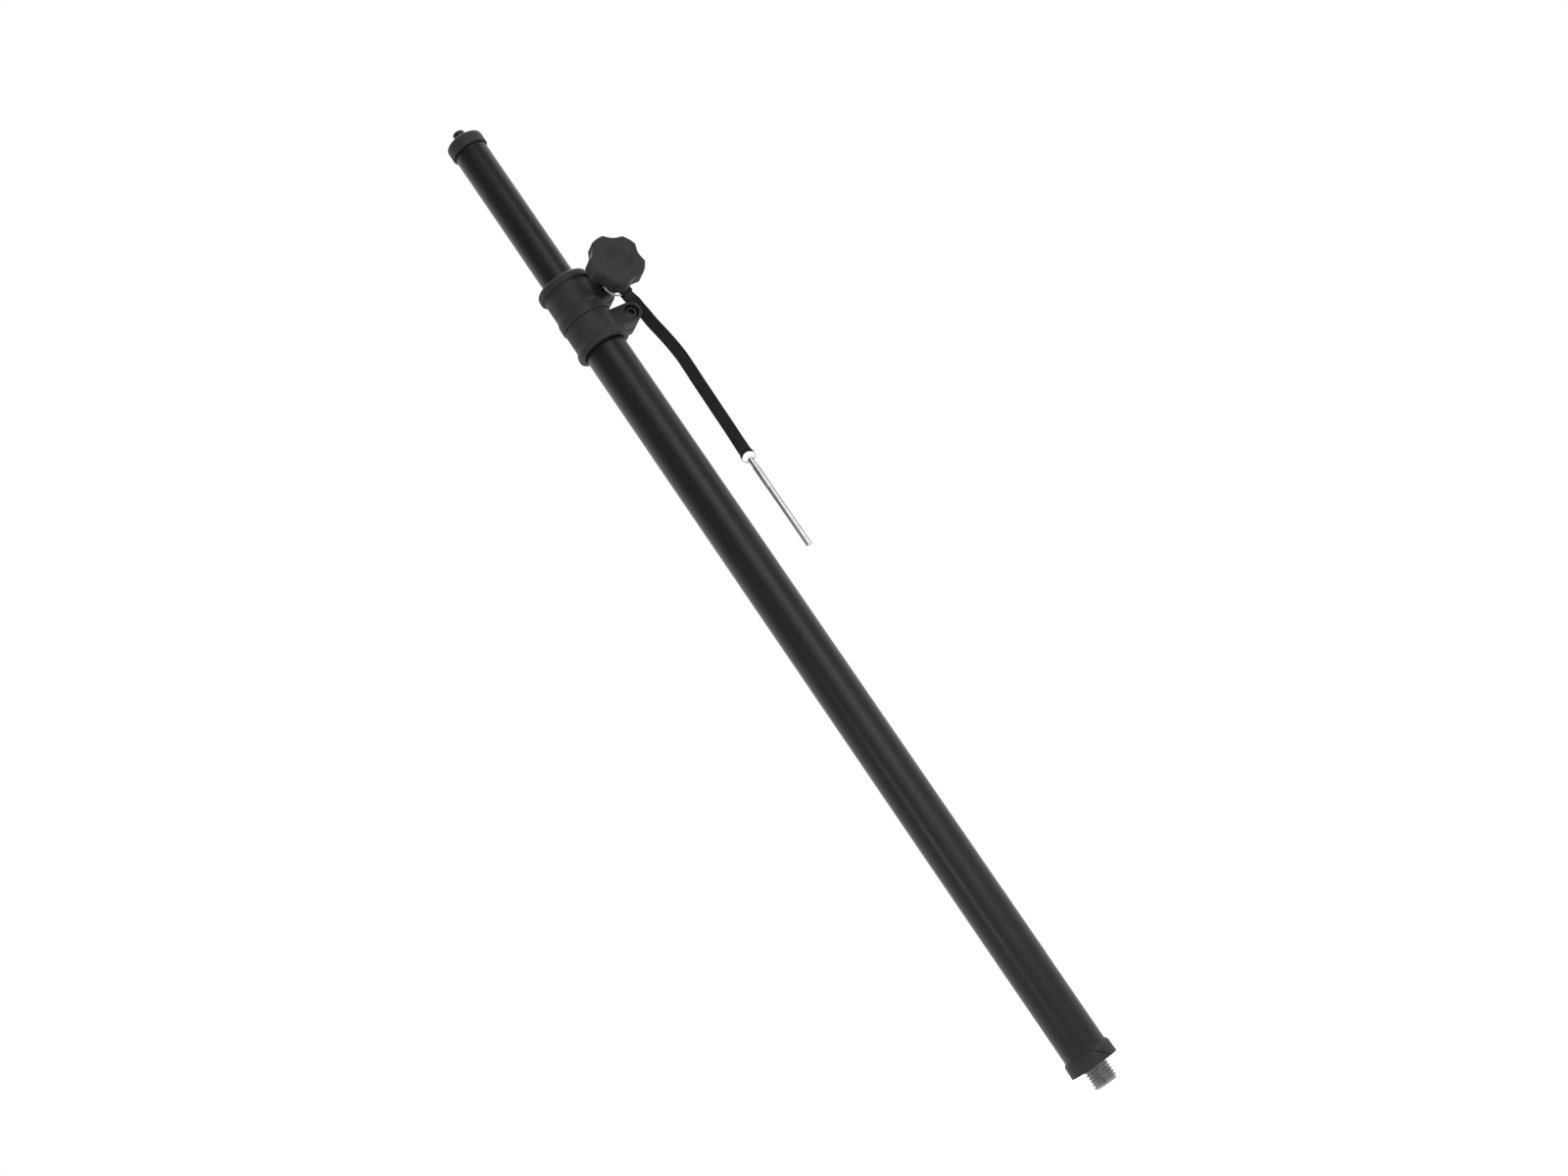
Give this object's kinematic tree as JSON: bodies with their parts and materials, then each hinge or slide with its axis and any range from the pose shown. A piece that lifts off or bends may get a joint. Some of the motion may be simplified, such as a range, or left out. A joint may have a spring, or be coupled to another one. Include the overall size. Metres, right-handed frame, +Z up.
{
  "type": "speaker pole",
  "caption": "Telescoping black speaker pole with a threaded foot stud, a split collar clamped by a lobed knob, and a steel lock pin on a webbing tether.",
  "frame": {"origin": "on the pole's axis in the plane of the foot's seat, where the threaded stud begins", "axes": "+Z up the pole, +X the side of the clamp slits and lugs, -Y the side of the knob"},
  "size_m": [0.0782, 0.0706, 0.8996],
  "materials": {
    "black_coat": "satin black powder coat",
    "moulded_plastic": "matt dark grey moulded",
    "slide_plastic": "plain black moulded",
    "webbing": "black woven webbing",
    "steel": "dull turned steel",
    "chrome": "bright plated"
  },
  "bodies": {
    "outer": {"lower_tube": "black_coat", "foot_sleeve": "moulded_plastic", "foot_plug": "steel", "threaded_stud": "steel", "guide_bush": "slide_plastic", "clamp_ring": "moulded_plastic", "collar_housing": "moulded_plastic", "clamp_screw": "steel", "clamp_nut": "steel", "knob_nut": "steel"},
    "inner_pole": {"upper_tube": "black_coat", "tube_glide": "slide_plastic", "front_glide_rivet": "steel", "back_glide_rivet": "steel", "top_cap": "moulded_plastic", "top_plug": "slide_plastic", "top_stud": "steel"},
    "washer": {"knob_washer": "steel"},
    "clamp_knob": {"knob": "moulded_plastic", "knob_stud": "steel", "knob_disc": "moulded_plastic"},
    "tether": {"upper_split_ring": "chrome", "tether_strap": "webbing", "lower_split_ring": "chrome"},
    "pin": {"lock_pin": "chrome"}
  },
  "joints": [
    {"name": "pole_slide", "type": "slide", "parent": "outer", "child": "inner_pole", "axis": [0, 0, 1], "range_m": [-0.135, 0.45]},
    {"name": "knob_travel", "type": "slide", "parent": "outer", "child": "washer", "axis": [0, -1, 0], "range_m": [0, 0.0025]},
    {"name": "knob_turn", "type": "hinge", "parent": "washer", "child": "clamp_knob", "pos_m": [0.0274, -0.03, 0.7081], "axis": [0, -1, 0], "range_deg": [0, 720]},
    {"name": "tether_swing", "type": "hinge", "parent": "washer", "child": "tether", "pos_m": [0.0274, -0.018, 0.7081], "axis": [0, -1, 0], "range_deg": [0, 80]},
    {"name": "pin_swing", "type": "hinge", "parent": "tether", "child": "pin", "pos_m": [0.0496, -0.0049, 0.5247], "axis": [0.866, -0.5, 0], "range_deg": [-80, 80]}
  ],
  "couplings": [
    {"joint": "knob_travel", "follows": "knob_turn", "m_per_rad": 0.00019894}
  ]
}
